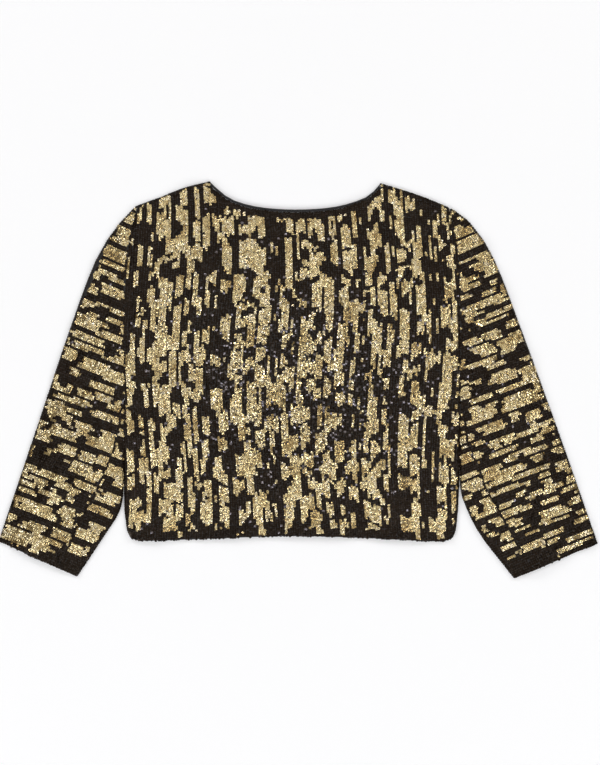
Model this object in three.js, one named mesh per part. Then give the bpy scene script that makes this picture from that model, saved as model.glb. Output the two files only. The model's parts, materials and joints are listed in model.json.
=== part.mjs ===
// A short sequinned blouse with two-piece sleeves, laid flat with its back up.
// Millimetres, +Z up. The neck points to +Y and the wearer's right arm to +X.
// The origin is the middle of the blouse on the surface that it lies on.
import * as THREE from "three";

// Cloth
const WALL = 1.6; // cloth with its sequins
const SEAM_GAP = 0.3; // between two pieces that are sewn together
const LAYER_GAP = 0.5; // air between the two layers at a seam
const LOWER = WALL / 2; // middle of the lower layer's wall
const UPPER = LOWER + WALL + LAYER_GAP; // middle of the upper layer's wall at a seam
const FULLNESS = 2.0; // how far the upper layer lifts away from the seams
const FULLNESS_REACH = 30; // from a seam to full height
const FOLD_REACH = 14; // from a seam to the full height of a crease

// Hem and neck
const HEM_DEPTH = 12; // turned hem of both panels
const HEM_EXTRA = 0.8; // cloth that the turned hem adds
const HEM_STEP = 2; // over which the hem's edge steps down
const HEM_SEAM_GAP = 0.55; // between the panels at the side seams of the thick hems
const BINDING_WIDTH = 4;
const BINDING_WALL = 1.8;
const NECK_CORNER_STEP = 0.4; // beside the shoulder, where the front neckline starts
const BINDING_END_GAP = 0.9; // between a binding's end and the shoulder
const LOWER_BINDING = BINDING_WALL / 2; // middle of the front binding's height
const UPPER_BINDING = LOWER_BINDING + BINDING_WALL + SEAM_GAP; // and of the back binding's
const FRONT_NECK_DROP = 38; // front neckline below the back neckline
const FRONT_NECK_ROUND = 0.7; // how full the front neckline's curve is

// Seams that show on the upper side
const SHOULDER_WRAP = 5; // front panel showing inside the shoulder fold
const UNDERARM_WRAP = 3; // front panel showing at the underarm
const HEM_WRAP = { left: 10, right: 4 }; // front panel showing at the hem
const SLEEVE_TIP_GAP = 1.2; // clearance of the sleeve's fold at the shoulder tip

// Shares of the body's width and height
const NECK_START = 0.25; // neck point, from the left armhole
const UNDERARM = 0.41; // underarm, from the hem
const NECK_KNEE = 0.7; // rows above this bend down to a deeper neckline

// Cells of each piece
const HEM_CELLS = 7;
const ARMHOLE_CELLS = 10;
const SHOULDER_CELLS = 9;
const BACK_NECK_CELLS = 18;
const FRONT_NECK_CELLS = 12;
const SLEEVE_CELLS = 16;
const UNDER_CELLS = 3;
const SEAM_STEPS = 64; // straight stretches of a sleeve's back seam
const SEAM_START_CELL = 1 / SEAM_STEPS; // a short first row beside the underarm
const LINE_STEPS = 40; // points of a line from which distances are measured
const UNDERARM_STEP = 3; // mm, a short row beside the underarm
const FOLD_ANGLES = [0, 45, 90, 135, 180];
const NEARLY_ZERO = 1e-6;

// The outline as it lies, each row a place on the left of the picture and its partner on the right.
const SIDE_FOLD = [
  { place: "hem corner", leftX: -233, leftY: -221, rightX: 215, rightY: -221 },
  { place: "end of the hem's curve", leftX: -239, leftY: -207, rightX: 220.5, rightY: -207 },
  { place: "above the hem", leftX: -242, leftY: -180, rightX: 223, rightY: -180 },
  { place: "middle of the side", leftX: -243, leftY: -105, rightX: 226, rightY: -105 },
  { place: "underarm", leftX: -243, leftY: -28, rightX: 227, rightY: -28 },
];
const ARMHOLE = [
  { place: "underarm", leftX: -243, leftY: -28, rightX: 227, rightY: -28 },
  { place: "middle", leftX: -243.5, leftY: 50, rightX: 227.5, rightY: 50 },
  { place: "chest", leftX: -243, leftY: 120, rightX: 227, rightY: 120 },
  { place: "below the shoulder", leftX: -238, leftY: 190, rightX: 223, rightY: 188 },
  { place: "shoulder tip", leftX: -224, leftY: 243, rightX: 211, rightY: 240 },
];
const SHOULDER = [
  { place: "shoulder tip", leftX: -224, leftY: 243, rightX: 211, rightY: 240 },
  { place: "outer third", leftX: -193, leftY: 254, rightX: 177, rightY: 254 },
  { place: "inner third", leftX: -158, leftY: 268, rightX: 145, rightY: 265 },
  { place: "neck point", leftX: -123, leftY: 276.5, rightX: 115, rightY: 274 },
];
const OUTER_FOLD = [
  { place: "shoulder tip", leftX: -224, leftY: 243, rightX: 211, rightY: 240 },
  { place: "sleeve head", leftX: -248, leftY: 219, rightX: 240, rightY: 219 },
  { place: "upper arm", leftX: -281, leftY: 168, rightX: 273, rightY: 168 },
  { place: "above the elbow", leftX: -318, leftY: 70, rightX: 311, rightY: 70 },
  { place: "elbow", leftX: -351, leftY: -28, rightX: 347, rightY: -28 },
  { place: "forearm", leftX: -382, leftY: -120, rightX: 380, rightY: -120 },
  { place: "cuff", leftX: -418, leftY: -226, rightX: 418, rightY: -228.5 },
];
const INNER_FOLD = [
  { place: "underarm", leftX: -243.8, leftY: -31.5, rightX: 227.8, rightY: -31.5 },
  { place: "beside the body", leftX: -244.6, leftY: -110, rightX: 227.4, rightY: -110 },
  { place: "low on the body", leftX: -245.4, leftY: -158, rightX: 228.2, rightY: -152 },
  { place: "leaving the body", leftX: -251, leftY: -185, rightX: 236, rightY: -178 },
  { place: "above the cuff", leftX: -272, leftY: -218, rightX: 257, rightY: -218 },
  { place: "cuff", leftX: -310, leftY: -275, rightX: 303, rightY: -277 },
];
const BACK_SEAM = [
  { place: "just below the underarm", leftX: -248.6, leftY: -32, rightX: 232.6, rightY: -32 },
  { place: "upper third", leftX: -254, leftY: -76, rightX: 239, rightY: -84 },
  { place: "middle", leftX: -278, leftY: -142, rightX: 264, rightY: -148 },
  { place: "lower third", leftX: -309, leftY: -203, rightX: 295, rightY: -203 },
  { place: "cuff", leftX: -336, leftY: -263, rightX: 331, rightY: -266 },
];
const NECK = [
  { place: "left neck point", x: -123, y: 276.5 },
  { place: "below the left neck point", x: -108, y: 263 },
  { place: "left side", x: -90, y: 251 },
  { place: "left of the middle", x: -54, y: 241.5 },
  { place: "middle", x: -5, y: 238 },
  { place: "right of the middle", x: 46, y: 241 },
  { place: "right side", x: 84, y: 250.5 },
  { place: "below the right neck point", x: 102, y: 260 },
  { place: "right neck point", x: 115, y: 274 },
];
const HEM = [
  { place: "left corner", x: -233, y: -221 },
  { place: "left end of the curve", x: -212, y: -225 },
  { place: "left quarter", x: -120, y: -222 },
  { place: "middle", x: -8, y: -218.5 },
  { place: "right quarter", x: 104, y: -221.5 },
  { place: "right end of the curve", x: 194, y: -226 },
  { place: "right corner", x: 215, y: -221 },
];

// Creases of the upper layer. Each has its middle, its direction in degrees from +Y towards
// +X, its length, its half width and its height, which is below zero for a trough.
const BACK_CREASES = [
  { x: -188, y: 96, turn: 0, length: 150, width: 13, height: -1.5 },
  { x: -132, y: 44, turn: 12, length: 90, width: 11, height: -1.1 },
  { x: -92, y: 128, turn: 6, length: 130, width: 12, height: -1.0 },
  { x: 92, y: 138, turn: -4, length: 95, width: 10, height: -1.3 },
  { x: 164, y: -24, turn: 8, length: 100, width: 12, height: -1.3 },
  { x: 8, y: 30, turn: 14, length: 80, width: 12, height: -1.0 },
  { x: -98, y: -18, turn: -16, length: 70, width: 10, height: -1.0 },
  { x: 78, y: -92, turn: -10, length: 80, width: 11, height: -1.1 },
  { x: 158, y: 222, turn: -48, length: 90, width: 9, height: -1.0 },
  { x: -160, y: -128, turn: 4, length: 70, width: 12, height: -0.9 },
  { x: 10, y: -194, turn: 90, length: 400, width: 9, height: -1.2 },
  { x: -214, y: 16, turn: 2, length: 120, width: 11, height: 0.9 },
  { x: -109, y: 10, turn: 8, length: 90, width: 12, height: 1.1 },
  { x: -56, y: 92, turn: 2, length: 120, width: 13, height: 1.2 },
  { x: -10, y: 62, turn: -6, length: 90, width: 12, height: 1.0 },
  { x: 116, y: 4, turn: 4, length: 130, width: 14, height: 1.2 },
  { x: 176, y: 96, turn: -2, length: 150, width: 16, height: 0.9 },
  { x: -52, y: -134, turn: 38, length: 100, width: 14, height: 1.0 },
  { x: 40, y: -126, turn: 26, length: 90, width: 13, height: 1.0 },
];
const SLEEVE_CREASES = {
  left: [
    { x: -272, y: 68, turn: 24, length: 120, width: 14, height: 1.1 },
    { x: -300, y: -26, turn: 62, length: 90, width: 12, height: -1.1 },
    { x: -322, y: -72, turn: 34, length: 100, width: 13, height: 1.0 },
    { x: -352, y: -148, turn: 44, length: 90, width: 12, height: -0.9 },
    { x: -270, y: 150, turn: 18, length: 60, width: 12, height: -0.9 },
  ],
  right: [
    { x: 256, y: 86, turn: -22, length: 120, width: 13, height: -1.2 },
    { x: 292, y: 10, turn: -34, length: 110, width: 14, height: 1.1 },
    { x: 300, y: -72, turn: -58, length: 90, width: 12, height: -1.0 },
    { x: 336, y: -128, turn: -36, length: 100, width: 14, height: 1.0 },
    { x: 364, y: -186, turn: -48, length: 70, width: 12, height: -0.9 },
  ],
};

// Finishes
const SEQUINNED = { color: 0x85765a, roughness: 0.35, metalness: 0.6 };
const BINDING = { color: 0x1c1917, roughness: 0.8, metalness: 0 };

// Curves and flat shapes

function curveOf(rows, side) {
  const points = rows.map((row) =>
    side ? new THREE.Vector2(row[side + "X"], row[side + "Y"]) : new THREE.Vector2(row.x, row.y),
  );
  return new THREE.SplineCurve(points);
}

// Straight stretches between evenly spaced points of a curve, so two pieces can share them.
function chords(points) {
  return (t) => {
    const place = THREE.MathUtils.clamp(t, 0, 1) * (points.length - 1);
    const first = Math.min(Math.floor(place), points.length - 2);
    return points[first].clone().lerp(points[first + 1], place - first);
  };
}

// The points of a line moved sideways, to the left of its direction.
function moved(points, distance) {
  return points.map((point, i) => {
    const before = points[Math.max(i - 1, 0)];
    const after = points[Math.min(i + 1, points.length - 1)];
    const direction = after.clone().sub(before).normalize();
    return new THREE.Vector2(point.x - direction.y * distance, point.y + direction.x * distance);
  });
}

function straight(from, to) {
  return (t) => from.clone().lerp(to, t);
}

// A point of the flat shape that four edges enclose: start and end run across it,
// near and far run along it.
function flatPoint(shape, across, along) {
  const [start, end] = [shape.start(across), shape.end(across)];
  const [near, far] = [shape.near(along), shape.far(along)];
  const lower = shape.start(0).lerp(shape.start(1), across);
  const upper = shape.end(0).lerp(shape.end(1), across);
  return start
    .lerp(end, along)
    .add(near.lerp(far, across))
    .sub(lower.lerp(upper, along));
}

function widthAt(shape, along) {
  return shape.near(along).distanceTo(shape.far(along));
}

function lengthAt(shape, across) {
  return shape.start(across).distanceTo(shape.end(across));
}

function smooth(t) {
  return THREE.MathUtils.smoothstep(t, 0, 1);
}

function distanceToLine(points, place) {
  let nearest = Infinity;
  for (let i = 1; i < points.length; i++) {
    const along = points[i].clone().sub(points[i - 1]);
    const from = place.clone().sub(points[i - 1]);
    const share = THREE.MathUtils.clamp(from.dot(along) / along.lengthSq(), 0, 1);
    nearest = Math.min(nearest, from.sub(along.multiplyScalar(share)).length());
  }
  return nearest;
}

// Height of one crease over a place: a soft bar with rounded ends.
function creaseHeight(crease, place) {
  const turn = THREE.MathUtils.degToRad(crease.turn);
  const [x, y] = [place.x - crease.x, place.y - crease.y];
  const along = (x * Math.sin(turn) + y * Math.cos(turn)) / (crease.length / 2);
  const across = (x * Math.cos(turn) - y * Math.sin(turn)) / crease.width;
  return crease.height * Math.exp(-(across ** 2)) * Math.exp(-(along ** 4));
}

// Middle of the upper layer over a place: low at the seams, full between them, and creased.
function upperHeight(place, seams, creases) {
  const seam = Math.min(...seams.map((line) => distanceToLine(line, place)));
  const creased = creases.reduce((sum, crease) => sum + creaseHeight(crease, place), 0);
  return UPPER + FULLNESS * smooth(seam / FULLNESS_REACH) + creased * smooth(seam / FOLD_REACH);
}

// A place on the round edge where the cloth turns from the lower to the upper layer. At 0
// degrees it is the lower layer's last point and at 180 the upper layer's.
function onFold(lower, upper, angle) {
  const radius = (upper.z - lower.z) / 2;
  const turn = THREE.MathUtils.degToRad(angle);
  return {
    inset: lower.wall / 2 + radius - radius * Math.sin(turn),
    z: lower.z + radius - radius * Math.cos(turn),
    wall: lower.wall,
  };
}

// Walls

// A closed wall round a grid of points, each with its own thickness. Cells for which
// isCloth is false stay open.
function clothWall(grid, isCloth = () => true) {
  const [rows, columns] = [grid.length, grid[0].length];
  const number = (row, column) => row * columns + column;
  const normals = grid.flat().map(() => new THREE.Vector3());
  const cells = [];
  for (let row = 0; row + 1 < rows; row++) {
    for (let column = 0; column + 1 < columns; column++) {
      if (!isCloth(row, column)) continue;
      const corners = [
        [row, column],
        [row, column + 1],
        [row + 1, column + 1],
        [row + 1, column],
      ];
      const [a, b, c, d] = corners.map(([r, k]) => grid[r][k].place);
      const facing = c.clone().sub(a).cross(d.clone().sub(b)).normalize();
      corners.forEach(([r, k]) => normals[number(r, k)].add(facing));
      cells.push(corners.map(([r, k]) => number(r, k)));
    }
  }
  const position = [];
  for (const sign of [1, -1]) {
    grid.flat().forEach((point, i) => {
      const shift = normals[i].clone().normalize().multiplyScalar((sign * point.wall) / 2);
      position.push(...point.place.clone().add(shift).toArray());
    });
  }
  return closedGeometry(position, cells, rows * columns);
}

// Two copies of the cells, the second under the first, with walls round every free edge.
function closedGeometry(position, cells, under) {
  const index = [];
  const edges = new Map();
  for (const [a, b, c, d] of cells) {
    index.push(a, b, c, a, c, d);
    index.push(c + under, b + under, a + under, d + under, c + under, a + under);
    for (const [from, to] of [[a, b], [b, c], [c, d], [d, a]]) {
      const other = to + "," + from;
      if (edges.has(other)) edges.delete(other);
      else edges.set(from + "," + to, [from, to]);
    }
  }
  for (const [from, to] of edges.values()) {
    index.push(to, from, from + under, to, from + under, to + under);
  }
  const geometry = new THREE.BufferGeometry();
  geometry.setAttribute("position", new THREE.Float32BufferAttribute(position, 3));
  geometry.setIndex(index);
  facingOut(geometry);
  return withoutSpareVertices(geometry);
}

// A mirrored piece comes out inside out, so its triangles are turned over.
function facingOut(geometry) {
  const position = geometry.getAttribute("position");
  const index = geometry.getIndex().array;
  const corner = (i) => new THREE.Vector3().fromBufferAttribute(position, index[i]);
  let volume = 0;
  for (let i = 0; i < index.length; i += 3) {
    volume += corner(i).dot(corner(i + 1).cross(corner(i + 2)));
  }
  if (volume > 0) return;
  for (let i = 0; i < index.length; i += 3) {
    [index[i], index[i + 1]] = [index[i + 1], index[i]];
  }
}

// Points of open cells are left out.
function withoutSpareVertices(geometry) {
  const flat = geometry.toNonIndexed();
  flat.computeVertexNormals();
  return flat;
}

function meshOf(name, geometry, finish) {
  const mesh = new THREE.Mesh(geometry, new THREE.MeshStandardMaterial(finish));
  mesh.name = name;
  return mesh;
}

function gridPoint(place, z, wall) {
  return { place: new THREE.Vector3(place.x, place.y, z), wall };
}

// Lines that the pieces share

const SIDES = ["left", "right"];
const armholePoints = {};
const sideCurve = {};
for (const side of SIDES) {
  armholePoints[side] = curveOf(ARMHOLE, side).getSpacedPoints(ARMHOLE_CELLS);
  const fold = curveOf(SIDE_FOLD, side);
  const armhole = chords(armholePoints[side]);
  sideCurve[side] = (along) =>
    along < UNDERARM
      ? fold.getPointAt(along / UNDERARM)
      : armhole((along - UNDERARM) / (1 - UNDERARM));
}
const shoulderCurve = {
  left: curveOf(SHOULDER, "left"),
  right: curveOf(SHOULDER, "right"),
};
const neckCurve = curveOf(NECK);
const hemCurve = curveOf(HEM);

function topEdge(across) {
  if (across <= NECK_START) return shoulderCurve.left.getPointAt(across / NECK_START);
  if (across >= 1 - NECK_START) return shoulderCurve.right.getPointAt((1 - across) / NECK_START);
  return neckCurve.getPointAt((across - NECK_START) / (1 - 2 * NECK_START));
}

const BODY = {
  start: (across) => hemCurve.getPointAt(across),
  end: topEdge,
  near: sideCurve.left,
  far: sideCurve.right,
};

const bodySeams = [
  ...SIDES.map((side) => armholePoints[side]),
  ...SIDES.map((side) => curveOf(SIDE_FOLD, side).getSpacedPoints(LINE_STEPS)),
  ...SIDES.map((side) => shoulderCurve[side].getSpacedPoints(LINE_STEPS)),
  neckCurve.getSpacedPoints(LINE_STEPS),
  hemCurve.getSpacedPoints(LINE_STEPS),
];

// Body panels

function evenSteps(from, to, cells) {
  return Array.from({ length: cells }, (_, i) => from + ((to - from) * i) / cells);
}

function bodyRows() {
  const side = curveOf(SIDE_FOLD, "left").getLength() / UNDERARM;
  const hemTop = (HEM_DEPTH + HEM_STEP) / side;
  return [
    0,
    HEM_DEPTH / side,
    ...evenSteps(hemTop, UNDERARM, HEM_CELLS),
    UNDERARM,
    UNDERARM + UNDERARM_STEP / side,
    ...evenSteps(UNDERARM, 1, ARMHOLE_CELLS).slice(1),
    1,
  ];
}

function bodyColumns(neckCells, extraColumns = []) {
  return [
    ...evenSteps(0, NECK_START, SHOULDER_CELLS),
    ...evenSteps(NECK_START, 1 - NECK_START, neckCells),
    ...evenSteps(1 - NECK_START, 1, SHOULDER_CELLS),
    1,
    ...extraColumns,
  ].sort((a, b) => a - b);
}

function inHem(along) {
  return along * lengthAt(BODY, 0.5) <= HEM_DEPTH + HEM_STEP / 2;
}

function isNeck(across) {
  return across > NECK_START + NEARLY_ZERO && across < 1 - NECK_START - NEARLY_ZERO;
}

// Middle height and thickness of a panel: the turned hems are thicker, so the upper one lies higher.
function lowerLayer(along) {
  const wall = WALL + (inHem(along) ? HEM_EXTRA : 0);
  return { z: wall / 2, wall };
}

function upperLayer(place, along) {
  const wall = WALL + (inHem(along) ? HEM_EXTRA : 0);
  const z = upperHeight(place, bodySeams, BACK_CREASES);
  return { z: inHem(along) ? wall + LAYER_GAP + wall / 2 : z, wall };
}

function upperEdge(along) {
  const { wall } = lowerLayer(along);
  return { z: wall + LAYER_GAP + wall / 2, wall };
}

// How much of the front panel shows on the upper side, from the side fold in.
function wrapAt(side, along) {
  return THREE.MathUtils.lerp(HEM_WRAP[side], UNDERARM_WRAP, Math.min(along / UNDERARM, 1));
}

// Share of the height at which a column ends, with the rows near the top drawn down to it.
function rowAt(across, along, topInset) {
  if (along <= NECK_KNEE) return along;
  const top = 1 - topInset / lengthAt(BODY, across);
  return NECK_KNEE + ((along - NECK_KNEE) / (1 - NECK_KNEE)) * (top - NECK_KNEE);
}

function makeBack() {
  const columns = bodyColumns(BACK_NECK_CELLS);
  const grid = bodyRows().map((along) =>
    columns.map((across) => {
      const topInset = (isNeck(across) ? BINDING_WIDTH : SHOULDER_WRAP) + SEAM_GAP;
      const row = rowAt(across, along, topInset);
      const width = widthAt(BODY, along);
      const gap = inHem(along) ? HEM_SEAM_GAP : SEAM_GAP;
      const sideInset = (side) => (along <= UNDERARM ? wrapAt(side, along) + gap : 0);
      const [near, far] = [sideInset("left") / width, 1 - sideInset("right") / width];
      const place = flatPoint(BODY, THREE.MathUtils.lerp(near, far, across), row);
      const { z, wall } = upperLayer(place, along);
      return gridPoint(place, z, wall);
    }),
  );
  return meshOf("back", clothWall(grid), SEQUINNED);
}

// The share of the width nearest to across that a binding covers.
function onBinding(across) {
  const end = BINDING_END_GAP / widthAt(BODY, 1);
  return THREE.MathUtils.clamp(across, NECK_START + end, 1 - NECK_START - end);
}

// Depth of the front neckline below the outline's neckline.
function frontNeckDepth(across) {
  const share = (onBinding(across) - NECK_START) / (1 - 2 * NECK_START);
  return FRONT_NECK_DROP * Math.sin(Math.PI * share) ** FRONT_NECK_ROUND;
}

// The front panel lies under the back. At the shoulders and below the underarms it turns
// over the fold, and its edge shows on the upper side.
function makeFront() {
  const rows = [
    ...bodyRows().map((along) => ({ along })),
    ...FOLD_ANGLES.slice(1).map((angle) => ({ along: 1, angle })),
    { along: 1, wrap: true },
  ];
  const edge = (side) => [
    { side, wrap: true },
    ...FOLD_ANGLES.slice(1).reverse().map((angle) => ({ side, angle })),
  ];
  const corner = NECK_START + NECK_CORNER_STEP / widthAt(BODY, 1);
  const columns = [
    ...edge("left"),
    ...bodyColumns(FRONT_NECK_CELLS, [corner, 1 - corner]).map((across) => ({ across })),
    ...edge("right").reverse(),
  ];
  const grid = rows.map((row) => columns.map((column) => frontPoint(column, row)));
  const underarmRow = bodyRows().indexOf(UNDERARM);
  const shoulderRow = bodyRows().length - 1;
  const edgeCells = edge("left").length;
  const isCloth = (row, column) => {
    const onSide = column < edgeCells || column >= columns.length - 1 - edgeCells;
    if (onSide) return row < underarmRow;
    const middle = (columns[column].across + columns[column + 1].across) / 2;
    return row < shoulderRow || !isNeck(middle);
  };
  return meshOf("front", clothWall(grid, isCloth), SEQUINNED);
}

function frontPoint(column, row) {
  const lower = lowerLayer(row.along);
  const upper = upperEdge(row.along);
  if (column.side) {
    const turned = column.wrap
      ? { inset: wrapAt(column.side, row.along), ...upper }
      : onFold(lower, upper, column.angle);
    const share = turned.inset / widthAt(BODY, row.along);
    const place = flatPoint(BODY, column.side === "left" ? share : 1 - share, row.along);
    return gridPoint(place, turned.z, turned.wall);
  }
  const { across } = column;
  if (row.angle || row.wrap) {
    const turned = row.wrap
      ? { inset: SHOULDER_WRAP, ...upper }
      : onFold(lower, upper, row.angle);
    const place = flatPoint(BODY, across, 1 - turned.inset / lengthAt(BODY, across));
    return gridPoint(place, turned.z, turned.wall);
  }
  const foldInset = onFold(lower, upper, 0).inset;
  const topInset = isNeck(across) ? frontNeckDepth(across) + BINDING_WIDTH + SEAM_GAP : foldInset;
  const sideInset = row.along <= UNDERARM ? foldInset / widthAt(BODY, row.along) : 0;
  const held = THREE.MathUtils.clamp(across, sideInset, 1 - sideInset);
  const place = flatPoint(BODY, held, rowAt(across, row.along, topInset));
  return gridPoint(place, lower.z, lower.wall);
}

// A narrow strip along a neckline, as deep below the outline's neckline as depthAt says.
function makeBinding(name, neckCells, depthAt, z) {
  const columns = [...evenSteps(NECK_START, 1 - NECK_START, neckCells), 1 - NECK_START].map(
    (across) => onBinding(across),
  );
  const grid = [BINDING_WIDTH, 0].map((inset) =>
    columns.map((across) => {
      const along = 1 - (depthAt(across) + inset) / lengthAt(BODY, across);
      return gridPoint(flatPoint(BODY, across, along), z, BINDING_WALL);
    }),
  );
  return meshOf(name, clothWall(grid), BINDING);
}

// Sleeves

// The edges of a sleeve's two pieces as they lie. The large piece runs from the back seam
// to the outer fold, the narrow one from the inner fold to the back seam.
function sleeveShapes(side) {
  const outward = side === "left" ? 1 : -1;
  const head = moved(armholePoints[side], outward * SEAM_GAP);
  const seamStart = head[0];
  const seamPoints = [seamStart, ...curveOf(BACK_SEAM, side).points];
  const seam = new THREE.SplineCurve(seamPoints).getSpacedPoints(SEAM_STEPS);
  const underSeam = moved(seam, outward * SEAM_GAP);
  const outerCurve = curveOf(OUTER_FOLD, side);
  outerCurve.points[0] = head[head.length - 1];
  const innerCurve = curveOf(INNER_FOLD, side);
  const topCuff = straight(seam[seam.length - 1], outerCurve.points[outerCurve.points.length - 1]);
  const outer = (along) => outerCurve.getPointAt(along);
  const inner = (along) => innerCurve.getPointAt(along);
  return {
    top: { start: chords(head), end: topCuff, near: chords(seam), far: outer },
    under: {
      start: straight(inner(0), underSeam[0]),
      end: straight(inner(1), underSeam[underSeam.length - 1]),
      near: inner,
      far: chords(underSeam),
    },
    seams: [
      head,
      outerCurve.getSpacedPoints(LINE_STEPS),
      innerCurve.getSpacedPoints(LINE_STEPS),
    ],
  };
}

function sleeveRows() {
  return [0, SEAM_START_CELL, ...evenSteps(0, 1, SLEEVE_CELLS).slice(1), 1];
}

// The large piece turns round the outer fold, so its columns go over the upper layer from
// the back seam, round the fold and back under the lower layer to the front seam.
function makeTopSleeve(side, shapes) {
  const lower = { z: LOWER, wall: WALL };
  const upper = { z: UPPER, wall: WALL };
  const flat = evenSteps(0, 1, ARMHOLE_CELLS);
  const columns = [
    ...flat.map((across) => ({ across, isUpper: true })),
    ...FOLD_ANGLES.slice().reverse().map((angle) => ({ angle })),
    ...flat.slice().reverse().map((across) => ({ across, isUpper: false })),
  ];
  const grid = sleeveRows().map((along) =>
    columns.map((column) => {
      if (column.isUpper === undefined) {
        const { inset, z } = onFold(lower, upper, column.angle);
        const tip = SLEEVE_TIP_GAP / lengthAt(shapes.top, 1);
        const share = 1 - inset / widthAt(shapes.top, along);
        return gridPoint(flatPoint(shapes.top, share, Math.max(along, tip)), z, WALL);
      }
      const place = flatPoint(shapes.top, column.across, along);
      const z = column.isUpper ? upperHeight(place, shapes.seams, SLEEVE_CREASES[side]) : LOWER;
      return gridPoint(place, z, WALL);
    }),
  );
  return meshOf("sleeve_top_" + side, clothWall(grid), SEQUINNED);
}

// The narrow piece turns round the inner fold in the same way, from seam to seam.
function makeUnderSleeve(side, shapes) {
  const lower = { z: LOWER, wall: WALL };
  const upper = { z: UPPER, wall: WALL };
  const flat = evenSteps(1, 0, UNDER_CELLS);
  const columns = [
    ...flat.map((share) => ({ share, isUpper: true })),
    ...FOLD_ANGLES.slice().reverse().map((angle) => ({ angle })),
    ...flat.slice().reverse().map((share) => ({ share, isUpper: false })),
  ];
  const rows = sleeveRows().slice(1);
  const grid = rows.map((along) =>
    columns.map((column) => {
      const width = widthAt(shapes.under, along);
      const foldShare = onFold(lower, upper, 0).inset / width;
      if (column.isUpper === undefined) {
        const { inset, z } = onFold(lower, upper, column.angle);
        return gridPoint(flatPoint(shapes.under, inset / width, along), z, WALL);
      }
      const across = THREE.MathUtils.lerp(foldShare, 1, column.share);
      const place = flatPoint(shapes.under, across, along);
      const z = column.isUpper ? upperHeight(place, shapes.seams, SLEEVE_CREASES[side]) : LOWER;
      return gridPoint(place, z, WALL);
    }),
  );
  return meshOf("sleeve_under_" + side, clothWall(grid), SEQUINNED);
}

// The blouse, moved so that the middle of its length and width is the origin

const blouse = new THREE.Group();
blouse.add(makeBack());
blouse.add(makeFront());
for (const side of SIDES) {
  const shapes = sleeveShapes(side);
  blouse.add(makeTopSleeve(side, shapes));
  blouse.add(makeUnderSleeve(side, shapes));
}
blouse.add(makeBinding("neck_binding_back", BACK_NECK_CELLS, () => 0, UPPER_BINDING));
blouse.add(makeBinding("neck_binding_front", FRONT_NECK_CELLS, frontNeckDepth, LOWER_BINDING));

const middle = new THREE.Box3().setFromObject(blouse).getCenter(new THREE.Vector3());
blouse.position.set(-middle.x, -middle.y, 0);
const part = new THREE.Group();
part.add(blouse);

export default part;
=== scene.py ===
"""A short sequinned blouse with two-piece sleeves, laid flat with its back up."""

import json
import math
from collections import namedtuple

import bmesh
import bpy
import numpy as np
from bpy.props import FloatProperty, FloatVectorProperty, IntProperty, PointerProperty
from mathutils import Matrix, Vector
from mathutils.bvhtree import BVHTree

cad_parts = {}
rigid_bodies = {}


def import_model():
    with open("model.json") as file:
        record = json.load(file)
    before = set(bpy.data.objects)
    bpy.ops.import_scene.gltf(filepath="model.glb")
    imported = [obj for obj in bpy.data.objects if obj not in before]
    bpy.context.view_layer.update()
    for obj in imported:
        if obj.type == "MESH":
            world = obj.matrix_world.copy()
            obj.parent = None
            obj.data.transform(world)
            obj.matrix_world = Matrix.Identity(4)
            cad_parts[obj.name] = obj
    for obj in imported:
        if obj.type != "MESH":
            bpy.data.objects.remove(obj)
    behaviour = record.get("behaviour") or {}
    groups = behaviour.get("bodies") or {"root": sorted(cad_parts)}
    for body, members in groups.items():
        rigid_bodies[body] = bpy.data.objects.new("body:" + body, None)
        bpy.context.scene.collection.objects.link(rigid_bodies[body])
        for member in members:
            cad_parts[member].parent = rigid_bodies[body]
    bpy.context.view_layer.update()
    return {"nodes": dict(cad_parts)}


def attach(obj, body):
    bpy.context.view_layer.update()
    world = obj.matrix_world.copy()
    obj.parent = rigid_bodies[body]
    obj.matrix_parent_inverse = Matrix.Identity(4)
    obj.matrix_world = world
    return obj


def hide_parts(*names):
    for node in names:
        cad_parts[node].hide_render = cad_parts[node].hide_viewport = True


bl_info = {
    "name": "Sequinned blouse laid flat",
    "version": (1, 0, 0),
    "blender": (4, 5, 0),
    "location": "3D View > Sidebar > Blouse",
    "description": "Black net cloth, gold and black sequins, neck binding and a plain stage",
    "category": "Object",
}

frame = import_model()

MM = 0.001
BODY = "root"

# The cut of each cloth piece: width and length of the flat cut and its area, in metres.
Cut = namedtuple("Cut", "node width length area")
BODY_CUTS = [
    Cut("back", 0.472, 0.500, 0.217),
    Cut("front", 0.500, 0.505, 0.216),
]
SLEEVE_CUTS = [
    Cut("sleeve_top_left", 0.215, 0.515, 0.079),
    Cut("sleeve_top_right", 0.240, 0.515, 0.090),
    Cut("sleeve_under_left", 0.075, 0.270, 0.0137),
    Cut("sleeve_under_right", 0.075, 0.270, 0.0141),
]
BINDINGS = ["neck_binding_back", "neck_binding_front"]

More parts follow.
